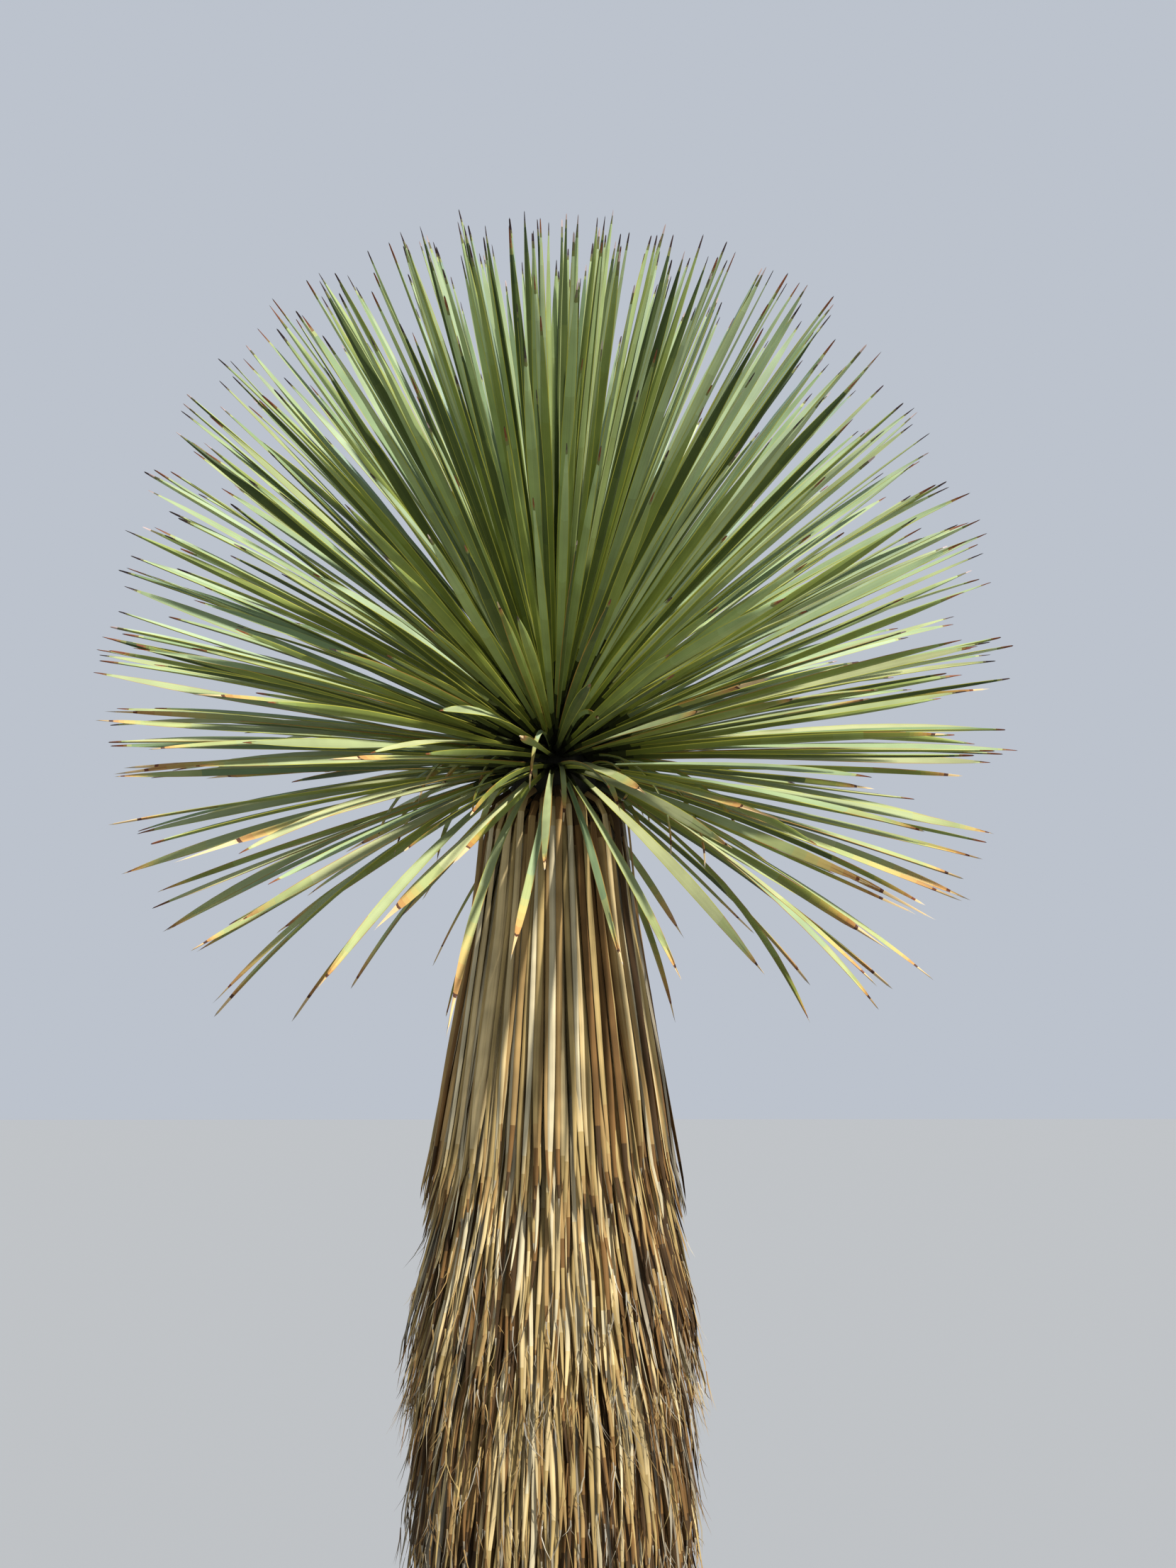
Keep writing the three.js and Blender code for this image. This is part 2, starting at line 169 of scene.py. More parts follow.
def grainFinish(name, tone, spread=0.14, rough=0.6, streak=(700, 2), bump=0.12):
    # fine streaks along the leaf, with slow blotches over them
    finish, nodes, link, shader = newFinish(name)
    uv = nodes.new("ShaderNodeUVMap")
    uv.uv_map = "grain"
    stretch = nodes.new("ShaderNodeMapping")
    stretch.inputs["Scale"].default_value = (*streak, 1)
    streaks = addNoise(nodes, 1, grainSettings["streakDetail"])
    place = nodes.new("ShaderNodeTexCoord")
    blotches = addNoise(nodes, grainSettings["blotchScale"], grainSettings["blotchDetail"])
    both = nodes.new("ShaderNodeMath")
    both.operation = "MULTIPLY_ADD"
    both.inputs[1].default_value = grainSettings["streakShare"]
    base = linear(tone)[:3]
    dark = [c * (1 - spread) for c in base] + [1]
    light = [min(1, c * (1 + spread)) for c in base] + [1]
    ramp = addRamp(nodes, (grainSettings["darkUpTo"], dark), (1, light))
    ridges = addBump(nodes, bump, grainSettings["ridgeHeight"])
    link(uv.outputs["UV"], stretch.inputs["Vector"])
    link(stretch.outputs["Vector"], streaks.inputs["Vector"])
    link(place.outputs["Object"], blotches.inputs["Vector"])
    link(streaks.outputs["Fac"], both.inputs[0])
    link(blotches.outputs["Fac"], both.inputs[2])
    link(both.outputs["Value"], ramp.inputs["Fac"])
    link(ramp.outputs["Color"], shader.inputs["Base Color"])
    link(streaks.outputs["Fac"], ridges.inputs["Height"])
    link(ridges.outputs["Normal"], shader.inputs["Normal"])
    shader.inputs["Roughness"].default_value = rough
    shader.inputs["Specular IOR Level"].default_value = grainSettings["specular"]
    return finish


for name, (steps, tones) in rampSettings.items():
    places, tones = zip(*tones)
    for step in range(steps):
        share = step / (steps - 1)
        tone = tuple(float(np.interp(share, places, channel)) for channel in zip(*tones))
        finishSettings[f"{name}{step}"] = {"tone": tone, "rough": rampRough}
finishes = {name: grainFinish(name, **values) for name, values in finishSettings.items()}
finishOrder = list(finishes)
slotOf = {name: number for number, name in enumerate(finishOrder)}
print("finishes:", len(finishes))


# Meshes. A store gathers many strips, and becomes one piece.

meshSettings = {
    "sharpFrom": 50,  # degrees between two faces
    "grainPitch": 0.0025,  # how far apart two sides of a strip lie on the grain
    "grainShift": (0.0613, 1.37),  # across and along, from one strip to the next
}


def newStore():
    return {"points": [], "faces": [], "uvs": [], "slots": [], "size": 0}


def addStrip(store, line, shares, halfWidths, lifts, section, slots, seed, length):
    # line: centres, across and normals by ring, then the end point
    # slots: one row a ring, one column a side
    centres, across, normals, end = line
    rings, sides = len(centres), len(section)
    aside = halfWidths[:, None] * section[None, :, 0]
    above = lifts[:, None] * section[None, :, 1]
    points = centres[:, None] + across[:, None] * aside[..., None] + normals[:, None] * above[..., None]
    start = store["size"]
    store["points"].append(np.vstack([points.reshape(-1, 3), end]))
    store["size"] += rings * sides + 1
    ring = start + np.arange(rings - 1)[:, None] * sides
    side = np.arange(sides)[None, :]
    after = (side + 1) % sides
    quads = np.stack([ring + side, ring + sides + side, ring + sides + after, ring + after], -1)
    last = start + (rings - 1) * sides
    tips = [[last + k, start + rings * sides, last + (k + 1) % sides] for k in range(sides)]
    store["faces"] += quads.reshape(-1, 4).tolist() + tips + [list(range(start, start + sides))]
    store["slots"].append(np.concatenate([slots[:-1].ravel(), slots[-1], slots[0, :1]]))
    # the grain's own coordinates, in metres, shifted so that neighbours don't share a streak
    pitch = meshSettings["grainPitch"]
    acrossShift, alongShift = meshSettings["grainShift"]
    steps = np.append(shares, 1) * length + seed * alongShift % 1
    left = np.broadcast_to(np.arange(sides) * pitch + seed * acrossShift % 0.5, (rings, sides))
    low = np.broadcast_to(steps[:-1, None], (rings, sides))
    high = np.broadcast_to(steps[1:, None], (rings, sides))
    right = left + pitch
    corners = np.stack([left, low, left, high, right, high, right, low], -1)
    store["uvs"].append(corners[:-1].ravel())
    store["uvs"].append(corners[-1][:, [0, 1, 2, 3, 6, 7]].ravel())
    store["uvs"].append(corners[0][:, :2].ravel())


def makePiece(name, store, nodes):
    mesh = bpy.data.meshes.new(name)
    mesh.from_pydata(np.concatenate(store["points"]).tolist(), [], store["faces"])
    used = np.concatenate(store["slots"])
    kept = sorted(set(used.tolist()))
    for number in kept:
        mesh.materials.append(finishes[finishOrder[number]])
    mesh.polygons.foreach_set("material_index", np.searchsorted(kept, used).astype(np.int32))
    mesh.polygons.foreach_set("use_smooth", np.ones(len(used), bool))
    grain = mesh.uv_layers.new(name="grain")
    grain.data.foreach_set("uv", np.concatenate(store["uvs"]).astype(np.float32))
    mesh.update()
    mesh.set_sharp_from_angle(angle=radians(meshSettings["sharpFrom"]))
    piece = bpy.data.objects.new(name, mesh)
    bpy.context.scene.collection.objects.link(piece)
    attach(piece, "root")
    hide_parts(*nodes)


# Camera, at the photograph's height, distance and angle of view.

cameraSettings = {
    "place": (0, -3.2, 1.6),
    "target": (0.05, 0, 1.94),
    "lens": 49.6,
    "sensor": 36,
}


def makeCamera():
    data = bpy.data.cameras.new("camera")
    data.lens = cameraSettings["lens"]
    data.sensor_width = cameraSettings["sensor"]
    camera = bpy.data.objects.new("camera", data)
    camera.location = cameraSettings["place"]
    sight = Vector(cameraSettings["target"]) - camera.location
    camera.rotation_euler = sight.to_track_quat("-Z", "Y").to_euler()
    bpy.context.scene.collection.objects.link(camera)
    bpy.context.scene.camera = camera


makeCamera()


# Trunk. Its outline gives height and radius. Above the shoot's foot it narrows inside the leaf bases.

trunkSettings = {
    "outline": [(0, 0.132), (0.045, 0.118), (0.13, 0.102), (0.32, 0.092), (1.1, 0.08), (1.9, 0.065),
                (1.945, 0.062)],
    "around": 96,
    "rows": 190,
    "rowPower": 1.25,  # for closer rows at the foot, where the bark shows
    "topPlace": 0.03,  # on the shoot, where the trunk ends
    "relief": 0.0055,  # of the bark, in metres
    "deepest": 0.6,  # that it may go in, as a share of the radius
    "fissures": 1.3,  # their share of the relief
    "fissureGrain": (3, 5, 2.2),  # around, upward and together
    "fissureDetail": (1, 2, 4),  # how fast finer ones fade, how much finer each is, and how many
    "scars": 0.45,  # share of the rings of old leaf scars
    "scarPitch": 0.012,  # height of one ring
    "scarWander": 5,
    "flatFoot": 0.02,  # height up to which the relief is fainter
    "shootRelief": 0.4,  # share of it that is left on the shoot
    "paintedShadeFrom": 1.87,  # the bark is painted darker from here up, as painted shade under the crown
}
shootSettings = {
    "foot": 1.945,
    "height": 0.205,
    "heightPower": 0.8,
    "footRadius": 0.076,
    "tipRadius": 0.016,
    "radiusPower": 0.42,
    "sheath": 0.014,  # thickness of the leaf bases around the trunk
    "narrowUpTo": 0.999,  # share of its height
}
barkSettings = {
    "stretch": (1, 1, 0.35),
    "scale": 70,
    "detail": 6,
    "furrowUpTo": 0.3,
    "ridgeFrom": 0.72,
    "bump": 0.6,
    "bumpHeight": 0.002,
    "rough": 0.95,
    # the second bark is painted shade, for the crown's shadow on the trunk
    "tones": {"oldBark": ((58, 44, 32), (146, 126, 100)), "paintedShadeBark": ((20, 20, 12), (44, 42, 26))},
}


def heightAt(place):
    return shootSettings["height"] * (1 - place ** shootSettings["heightPower"])


def placeAt(height):
    return (1 - height / shootSettings["height"]) ** (1 / shootSettings["heightPower"])


def sheathRadius(place):
    reach = shootSettings["footRadius"] - shootSettings["tipRadius"]
    return shootSettings["tipRadius"] + reach * place ** shootSettings["radiusPower"]


def trunkRadius(height):
    if height > shootSettings["foot"]:
        highest = shootSettings["narrowUpTo"] * shootSettings["height"]
        above = min(height - shootSettings["foot"], highest)
        return sheathRadius(placeAt(above)) - shootSettings["sheath"]
    heights, widths = zip(*trunkSettings["outline"])
    return float(np.interp(height, heights, widths))


def barkFinish(name):
    bark = barkSettings
    furrow, ridge = bark["tones"][name]
    finish, nodes, link, shader = newFinish(name)
    place = nodes.new("ShaderNodeTexCoord")
    stretch = nodes.new("ShaderNodeMapping")
    stretch.inputs["Scale"].default_value = bark["stretch"]
    flakes = addNoise(nodes, bark["scale"], bark["detail"])
    ramp = addRamp(nodes, (bark["furrowUpTo"], linear(furrow)), (bark["ridgeFrom"], linear(ridge)))
    relief = addBump(nodes, bark["bump"], bark["bumpHeight"])
    link(place.outputs["Object"], stretch.inputs["Vector"])
    link(stretch.outputs["Vector"], flakes.inputs["Vector"])
    link(flakes.outputs["Fac"], ramp.inputs["Fac"])
    link(ramp.outputs["Color"], shader.inputs["Base Color"])
    link(flakes.outputs["Fac"], relief.inputs["Height"])
    link(relief.outputs["Normal"], shader.inputs["Normal"])
    shader.inputs["Roughness"].default_value = bark["rough"]
    return finish


def barkRadius(height, angle):
    trunk = trunkSettings
    aroundGrain, upGrain, grain = trunk["fissureGrain"]
    spot = Vector((math.cos(angle) * aroundGrain, math.sin(angle) * aroundGrain, height * upGrain))
    fissure = abs(noise.fractal(spot * grain, *trunk["fissureDetail"]))
    phase = 2 * math.pi * height / trunk["scarPitch"] + trunk["scarWander"] * noise.noise(spot)
    scar = 0.5 + 0.5 * math.sin(phase)
    fade = min(1, height / trunk["flatFoot"])
    if height > shootSettings["foot"]:
        fade *= trunk["shootRelief"]
    depth = trunk["relief"] * (trunk["fissures"] * fissure + trunk["scars"] * scar) * fade
    return trunkRadius(height) - min(depth, trunk["deepest"] * trunkRadius(height))


def makeTrunk():
    around, rows = trunkSettings["around"], trunkSettings["rows"]
    top = shootSettings["foot"] + heightAt(trunkSettings["topPlace"])
    heights = top * (np.linspace(0, 1, rows) ** trunkSettings["rowPower"])
    points = [(0, 0, 0)]
    for height in heights:
        for n in range(around):
            angle = 2 * math.pi * n / around
            radius = barkRadius(height, angle)
            points.append((radius * math.cos(angle), radius * math.sin(angle), height))
    points.append((0, 0, top))
    faces = [[0, 1 + (n + 1) % around, 1 + n] for n in range(around)]
    for row in range(rows - 1):
        for n in range(around):
            a, b = 1 + row * around + n, 1 + row * around + (n + 1) % around
            faces.append([a, b, b + around, a + around])
    last = 1 + (rows - 1) * around
    faces += [[last + n, last + (n + 1) % around, len(points) - 1] for n in range(around)]
    mesh = bpy.data.meshes.new("trunkBark")
    mesh.from_pydata(points, [], faces)
    for name in barkSettings["tones"]:
        mesh.materials.append(barkFinish(name))
    # faces high up under the crown take the painted shade bark
    paintedShade = [max(points[corner][2] for corner in face) > trunkSettings["paintedShadeFrom"] for face in faces]
    mesh.polygons.foreach_set("material_index", np.array(paintedShade, np.int32))
    mesh.polygons.foreach_set("use_smooth", np.ones(len(faces), bool))
    mesh.update()
    piece = bpy.data.objects.new("trunkBark", mesh)
    bpy.context.scene.collection.objects.link(piece)
    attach(piece, "root")
    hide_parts("trunk")


makeTrunk()
print("trunk: bark relief,", trunkSettings["around"] * trunkSettings["rows"], "points")


# Crown. A blade's place runs from 0 at the growing tip to 1 at the foot of the shoot.

bladeSettings = {
    "count": 680,
    "halfWidth": 0.0070,
    "widthPlay": (0.76, 0.44),  # share of it at least, and at most this much more
    "rootDepth": 0.009,
    "rootAside": 0.0071,  # a root's middle, from the sides of its mass
    "rootAngle": 0.9,  # sine of the angle that takes, at most
    "rootEdge": 0.0055,  # and from the mass's lower and upper edge
    "steepRootEdge": 0.008,  # more of it, at most, under the upper edge for an upright blade
    "lengths": [(0, 0.580), (0.04, 0.645), (0.3, 0.662), (0.75, 0.616), (1, 0.560)],  # place, length
    "lengthSpread": 0.028,
    # rings, outline and depths go by share of the length. The rings are those before a blade's end.
    "rings": [0, 0.03, 0.07, 0.13, 0.22, 0.33, 0.45, 0.57, 0.69, 0.79, 0.88, 0.95],
    "outline": [(0, 1.3), (0.03, 0.78), (0.07, 0.54), (0.14, 0.54), (0.3, 0.7), (0.5, 0.92), (0.65, 1),
                (0.77, 0.92), (0.86, 0.7), (0.93, 0.42), (0.975, 0.17), (1, 0.04)],
    "depths": [(0, 1.6), (0.1, 1.2), (0.5, 1), (0.9, 0.8), (0.98, 0.5), (1, 0.3)],
    "depthPlay": (0.7, 1.2),  # how deep the channel is, at least and how much more
    # a blade's section: across as a share of its half width, and height in metres. Channel, then keel.
    "section": [(-1, 0.0014), (-0.9, 0.0016), (0, 0.0003), (0.9, 0.0016), (1, 0.0014),
                (0.9, 0.0008), (0.4, -0.0007), (0, -0.0018), (-0.4, -0.0007), (-0.9, 0.0008)],
}
stanceSettings = {
    "turn": 263,  # degrees, of the whole spiral, so that few of the lowest blades hang over the front
    "turnPlay": 3,
    "sink": (1.28, 1.38),  # the sine of a blade's rise falls from 1 by sink * place ** power
    "droop": (0.42, 16),  # and by this much more, which only the lowest blades feel
    "risePlay": 4,
    "sag": 3,
    "levelSag": 9,  # more of it, at most, on a level blade
    "lowest": -24,  # that a blade leaves the shoot at, so that it clears the skirt
    "lowestPlay": 6,
    "roll": 26,
    "twist": (25, 85),
    "rightHanded": 0.5,  # share of the blades that twist that way
    "sunward": 0.35,  # more of them, at most, where that turns the upper faces to the sunny side
    "bow": (0.012, 0.016),  # a slight lean to one side: of every blade, and more on the oldest
}
bands = [
    {"name": "tip", "end": 0.06, "masses": 1},
    {"name": "upper", "end": 0.28, "masses": 4},
    {"name": "middle", "end": 0.6, "masses": 6},
    {"name": "lower", "end": 0.87, "masses": 6},
    {"name": "drooping", "end": 1, "masses": 6},
]
ages = [("young", 0.4), ("grown", 0.72), ("old", 1)]  # up to which place
topTones = {
    "young": [("sageTop", 5), ("paleTop", 5), ("deepTop", 2), ("blueTop", 2)],
    "grown": [("sageTop", 5), ("paleTop", 4), ("deepTop", 2), ("limeTop", 3)],
    "old": [("limeTop", 6), ("wheatTop", 4), ("sageTop", 2), ("deepTop", 1)],
    "limp": [("wheatTop", 4), ("limeTop", 3), ("paleTop", 1)],
}
underTones = {
    "young": [("greyUnder", 5), ("sageUnder", 4), ("oliveUnder", 3), ("deepUnder", 5)],
    "grown": [("oliveUnder", 5), ("sageUnder", 4), ("deepUnder", 4)],
    "old": [("oliveUnder", 7), ("deepUnder", 3)],
    # paler under faces on the sunny side, as painted light
    "paintedSunlit": [("paleUnder", 6), ("greyUnder", 3), ("oliveUnder", 2), ("deepUnder", 2)],
    "limp": [("greyUnder", 2), ("sageUnder", 4), ("oliveUnder", 1)],
}
# painted light: on the sunny side, between these places, most blades take paler under tones
paintedSunlitSide = {
    "azimuth": 0,
    "reach": 72,  # degrees either side of it
    "places": (0.2, 0.72),
    "share": 0.8,
}
marginSettings = {
    "amber": (1.2, 0.6),  # how fast their share grows down the shoot, and from which place
    "lemon": 3,  # how fast that of the lemon ones grows among the others
}
endSettings = {
    "dead": (4, 0.73),  # how fast the share of blades with a dead end grows, and from which place
    "scarred": 0.55,  # share of them with a scar where the dead part begins
    "scar": (0.5, 0.2),  # where it lies, as a share of the end
    "fadedFrom": 0.76,  # where the dead part begins without one
    "scarLength": 0.006,
    "shrunk": (0.85, 0.7, 0.5),  # widths of the dead part, ring by ring
    "plain": (0.95, -0.8),  # share of plain ends at the tip of the shoot, and how it changes to the foot
    "dark": 0.7,  # share of them that are dark. The rest are pale.
    # share of a blade that its end takes, at least and how much more
    "deadShare": (0.1, 0.3),
    "plainShare": (0.035, 0.03),
    "rustyShare": (0.035, 0.045),
    "rings": [0, 0.2, 0.38, 0.52, 0.66, 0.8, 0.92],  # of a living end. A dead one shares the last.
}
drying = [(f"topDrying{step}", f"underDrying{step}") for step in range(rampSettings["topDrying"][0])]
limeEnd = ("tipLime", "tipOlive")
endTones = {  # outward, ring by ring: None for the blade's own, one tone, or a pair for top and under
    "rusty": [None, limeEnd, "tipRust", "rustBrown", "rustBrown", "rustBrown", "spineBrown"],
    "dark": [None, limeEnd, "tipDusk", "spineBrown", "spineBrown", "spineBrown", "spineBrown"],
    "pale": [None, limeEnd, "tipDusk", "tipDusk", "spineLilac", "spineLilac", "spineLilac"],
    "dried": drying + ["scarBrown", "creamEnd", "silverEnd"],
    "faded": drying + ["rustBrown", "creamEnd", "silverEnd"],
}
deadEnds = ("dried", "faded")
limpSettings = {
    "count": 34,
    "seed": 3000,
    "first": -84,  # degrees, the azimuth of the first
    "places": (0.73, 0.98),
    "leave": (0, 38),  # degrees
    "bend": (55, 115),
    "roll": 20,
    "twist": 70,
    "lengths": (0.10, 0.31),
    "lengthPower": 1.5,  # above 1, for more short ones than long ones
    "widest": 0.62,
    "dry": (0.12, 0.34),
}


def bladeRule(i):
    stance = stanceSettings
    place = (i + 0.5) / bladeSettings["count"]
    sink, sinkPower = stance["sink"]
    droop, droopPower = stance["droop"]
    rise = math.asin(1 - (sink * place ** sinkPower + droop * place ** droopPower))
    chord = rise + radians(stance["risePlay"]) * swing(i, 1)
    sag = radians(stance["sag"] + stance["levelSag"] * math.cos(rise) * draw(i, 2))
    leave = max(chord + sag / 2, radians(stance["lowest"] - stance["lowestPlay"] * draw(i, 7)))
    azimuth = radians(stance["turn"]) + i * goldenAngle + radians(stance["turnPlay"]) * swing(i, 3)
    twist = radians(mix(stance["twist"], draw(i, 8)))
    rightHanded = stance["rightHanded"] + stance["sunward"] * math.cos(azimuth)
    length = float(np.interp(place, *zip(*bladeSettings["lengths"])))
    return {
        "place": place,
        "azimuth": azimuth,
        "leave": leave,
        "bend": 2 * (leave - chord),
        "roll": radians(stance["roll"]) * swing(i, 4),
        "twist": twist if draw(i, 5) < rightHanded else -twist,
        "length": length * (1 + bladeSettings["lengthSpread"] * swing(i, 6)),
    }


def limpRule(i, n):  # an old blade that has gone limp
    limp = limpSettings
    return {
        "place": mix(limp["places"], draw(i, 1)),
        "azimuth": radians(limp["first"]) + n * goldenAngle,
        "leave": radians(mix(limp["leave"], draw(i, 2))),
        "bend": radians(mix(limp["bend"], draw(i, 3))),
        "roll": radians(limp["roll"]) * swing(i, 4),
        "twist": radians(limp["twist"]) * swing(i, 5),
        "length": mix(limp["lengths"], draw(i, 6) ** limp["lengthPower"]),
    }


def massAt(rule):
    start = 0
    for band in bands:
        if rule["place"] < band["end"]:
            turn = (rule["azimuth"] / (2 * math.pi)) % 1
            number = int(turn * band["masses"])
            middle = (number + 0.5) * 2 * math.pi / band["masses"] if band["masses"] > 1 else 0
            return {"band": band, "start": start, "number": number, "azimuth": middle}
        start = band["end"]


def rootOf(rule, mass):
    band = mass["band"]
    radius = sheathRadius(rule["place"]) - bladeSettings["rootDepth"]
    margin = math.asin(min(bladeSettings["rootAngle"], bladeSettings["rootAside"] / radius))
    half = math.pi / band["masses"]
    aside = (rule["azimuth"] - mass["azimuth"] + math.pi) % (2 * math.pi) - math.pi
    if band["masses"] > 1:
        aside *= (half - margin) / half
    angle = mass["azimuth"] + aside
    share = (rule["place"] - mass["start"]) / (band["end"] - mass["start"])
    low = heightAt(band["end"]) + bladeSettings["rootEdge"]
    steep = max(0, math.sin(rule["leave"]))
    high = heightAt(mass["start"]) - bladeSettings["rootEdge"] - bladeSettings["steepRootEdge"] * steep
    height = shootSettings["foot"] + high + (low - high) * share
    return np.array([radius * math.cos(angle), radius * math.sin(angle), height])


def bladeLine(rule, root, shares):
    azimuth, leave, bend, length = rule["azimuth"], rule["leave"], rule["bend"], rule["length"]
    rise = leave - bend * shares
    out = length * (math.sin(leave) - np.sin(rise)) / bend
    up = length * (np.cos(rise) - math.cos(leave)) / bend
    outward = np.array([math.cos(azimuth), math.sin(azimuth), 0])
    flat = np.array([-math.sin(azimuth), math.cos(azimuth), 0])
    along = outward * np.cos(rise)[:, None] + np.array([0, 0, 1]) * np.sin(rise)[:, None]
    turn = (rule["roll"] + rule["twist"] * shares)[:, None]
    across = flat * np.cos(turn) + np.cross(along, flat) * np.sin(turn)
    centres = root + outward * out[:, None] + np.array([0, 0, 1]) * up[:, None]
    return centres, across, np.cross(along, across)


def ageOf(place):
    return next(age for age, end in ages if place < end)


def endOf(i, place):
    # what kind of end a blade has, and how much of its length that takes
    rate, start = endSettings["dead"]
    if draw(i, 14) < rate * (place - start):
        kind = "dried" if draw(i, 17) < endSettings["scarred"] else "faded"
        return kind, grow(endSettings["deadShare"], draw(i, 15) ** 2)
    if draw(i, 14) < grow(endSettings["plain"], place):
        kind = "dark" if draw(i, 17) < endSettings["dark"] else "pale"
        return kind, grow(endSettings["plainShare"], draw(i, 15))
    return "rusty", grow(endSettings["rustyShare"], draw(i, 15))


def endRings(i, kind, length):  # length: of the end alone
    if kind not in deadEnds:
        return endSettings["rings"]
    scar = grow(endSettings["scar"], draw(i, 16)) if kind == "dried" else endSettings["fadedFrom"]
    rings = [scar * step / len(drying) for step in range(len(drying) + 1)]
    return rings + [scar + endSettings["scarLength"] / length, endSettings["rings"][-1]]


def marginOf(i, place):
    rate, start = marginSettings["amber"]
    if draw(i, 13) < rate * (place - start):
        return "amberMargin"
    return "lemonMargin" if draw(i, 18) < marginSettings["lemon"] * place else "paleMargin"


# whether a blade's under face gets painted light for the sunny side
def isPaintedSunlit(i, rule):
    turn = math.cos(rule["azimuth"] - radians(paintedSunlitSide["azimuth"]))
    low, high = paintedSunlitSide["places"]
    onSide = turn > math.cos(radians(paintedSunlitSide["reach"])) and low < rule["place"] < high
    return onSide and draw(i, 20) < paintedSunlitSide["share"]


def leafRow(margin, top, under):  # one tone for each side of the section
    return [margin] + [top] * 2 + [margin] * 2 + [under] * 4 + [margin]


def bladeSlots(i, rule, age, kind):
    # one row a ring: the base in painted shade, the green part, then the tones of its end
    margin = marginOf(i, rule["place"])
    top = pick(topTones[age], i, 11)
    # on the sunny side the under face takes paler tones, as painted light
    under = pick(underTones["paintedSunlit" if isPaintedSunlit(i, rule) else age], i, 12)
    sides = len(bladeSettings["section"])
    # the first two rings are painted shade and the third painted half shade, for the hub's shadow
    rows = [["paintedShadeBase"] * sides] * 2 + [["paintedHalfShadeBase"] * sides]
    green = len(bladeSettings["rings"]) - len(rows)
    for n in range(green):
        # the under face steps along its ramp, for most ramps from painted shade at the root to painted
        # light outward
        lower = f"{under}{n * rampSettings[under][0] // green}"
        rows += [leafRow(margin, top, lower)]
    if kind in deadEnds:
        rows[-2:] = [leafRow("amberMargin", *drying[0])] * 2
    for tones in endTones[kind]:
        upper, low = (tones, tones) if isinstance(tones, str) else tones or (top, lower)
        rows += [[upper] * 4 + [low] * (sides - 4)]
    return np.array([[slotOf[tone] for tone in row] for row in rows])


def addBlade(stores, i, rule, age, kind, share, widest=1):
    # share: how much of the length its end takes
    place, length = rule["place"], rule["length"]
    mass = massAt(rule)
    ends = endRings(i, kind, share * length)
    shares = np.append(np.array(bladeSettings["rings"]) * (1 - share), 1 - share + share * np.array(ends))
    widths = np.interp(shares, *zip(*bladeSettings["outline"]))
    if kind in deadEnds:
        widths[-len(endSettings["shrunk"]):] *= endSettings["shrunk"]
    depths = np.interp(shares, *zip(*bladeSettings["depths"]))
    root = rootOf(rule, mass)
    centres, across, normals = bladeLine(rule, root, shares)
    bow = (grow(stanceSettings["bow"], place) * swing(i, 19) * shares ** 2)[:, None]
    end = bladeLine(rule, root, np.array([1.0]))
    line = (centres + across * bow, across, normals, end[0] + end[1] * bow[-1])
    halfWidth = bladeSettings["halfWidth"] * widest
    halfWidths = halfWidth * widths * grow(bladeSettings["widthPlay"], draw(i, 9))
    lifts = depths * grow(bladeSettings["depthPlay"], draw(i, 10))
    key = (mass["band"]["name"], mass["number"] + 1 if mass["band"]["masses"] > 1 else 0)
    store = stores.setdefault(key, newStore())
    section = np.array(bladeSettings["section"])
    slots = bladeSlots(i, rule, age, kind)
    addStrip(store, line, shares, halfWidths, lifts, section, slots, i, length)


def makeCrown():
    stores = {}
    for i in range(bladeSettings["count"]):
        rule = bladeRule(i)
        place = rule["place"]
        addBlade(stores, i, rule, ageOf(place), *endOf(i, place))
    for n in range(limpSettings["count"]):
        i = limpSettings["seed"] + n
        share = mix(limpSettings["dry"], draw(i, 7))
        addBlade(stores, i, limpRule(i, n), "limp", "dried", share, limpSettings["widest"])
    for (band, number), store in stores.items():
        node = f"crown_{band}_{number}" if number else f"crown_{band}"
        name = f"{band}Blades{number}" if number else f"{band}Blades"
        makePiece(name, store, [node])
    blades, limp = bladeSettings["count"], limpSettings["count"]
    print("crown:", blades, "blades and", limp, "limp ones in", len(stores), "pieces")


makeCrown()


# Skirt. Dead leaves hang from the trunk, each layer lying on those that fell below it.

skirtSettings = {
    # height and radius
    "outline": [(0, 0.180), (0.06, 0.184), (0.4, 0.196), (0.84, 0.207), (1.06, 0.215), (1.355, 0.187),
                (1.5, 0.165), (1.745, 0.124), (1.89, 0.110), (1.92, 0.100), (1.94, 0.090)],
    "tiers": [("new", 1.410), ("weathered", 0.960), ("old", 0.510), ("foot", 0.095)],  # name and foot
    "tierMargin": 0.02,  # how far below its tier a leaf's middle may lie
    "masses": 6,
    "count": 3700,
    "seed": 5000,
    "turnPlay": 2,
    "highest": 1.932,
    "lowest": 0.25,  # where the last leaves still hang on
    "length": 0.55,
    "lengthPlay": 0.06,
    "lengthLost": 0.2,  # by the oldest leaf, at most
    "groundGap": 0.012,
    "groundPlay": 0.05,  # more of it, at most
    "tierPitch": 0.27,  # the ends of a season's leaves lie close together
    "tierDepth": 0.034,
}
clumpSettings = {  # old leaves mat together, with furrows between
    "depth": 0.010,
    "grain": (9, 3),  # around and upward
    "strength": 1.6,
    "from": (1.9, 4),  # the height that they start from, and how fast they grow below it
}
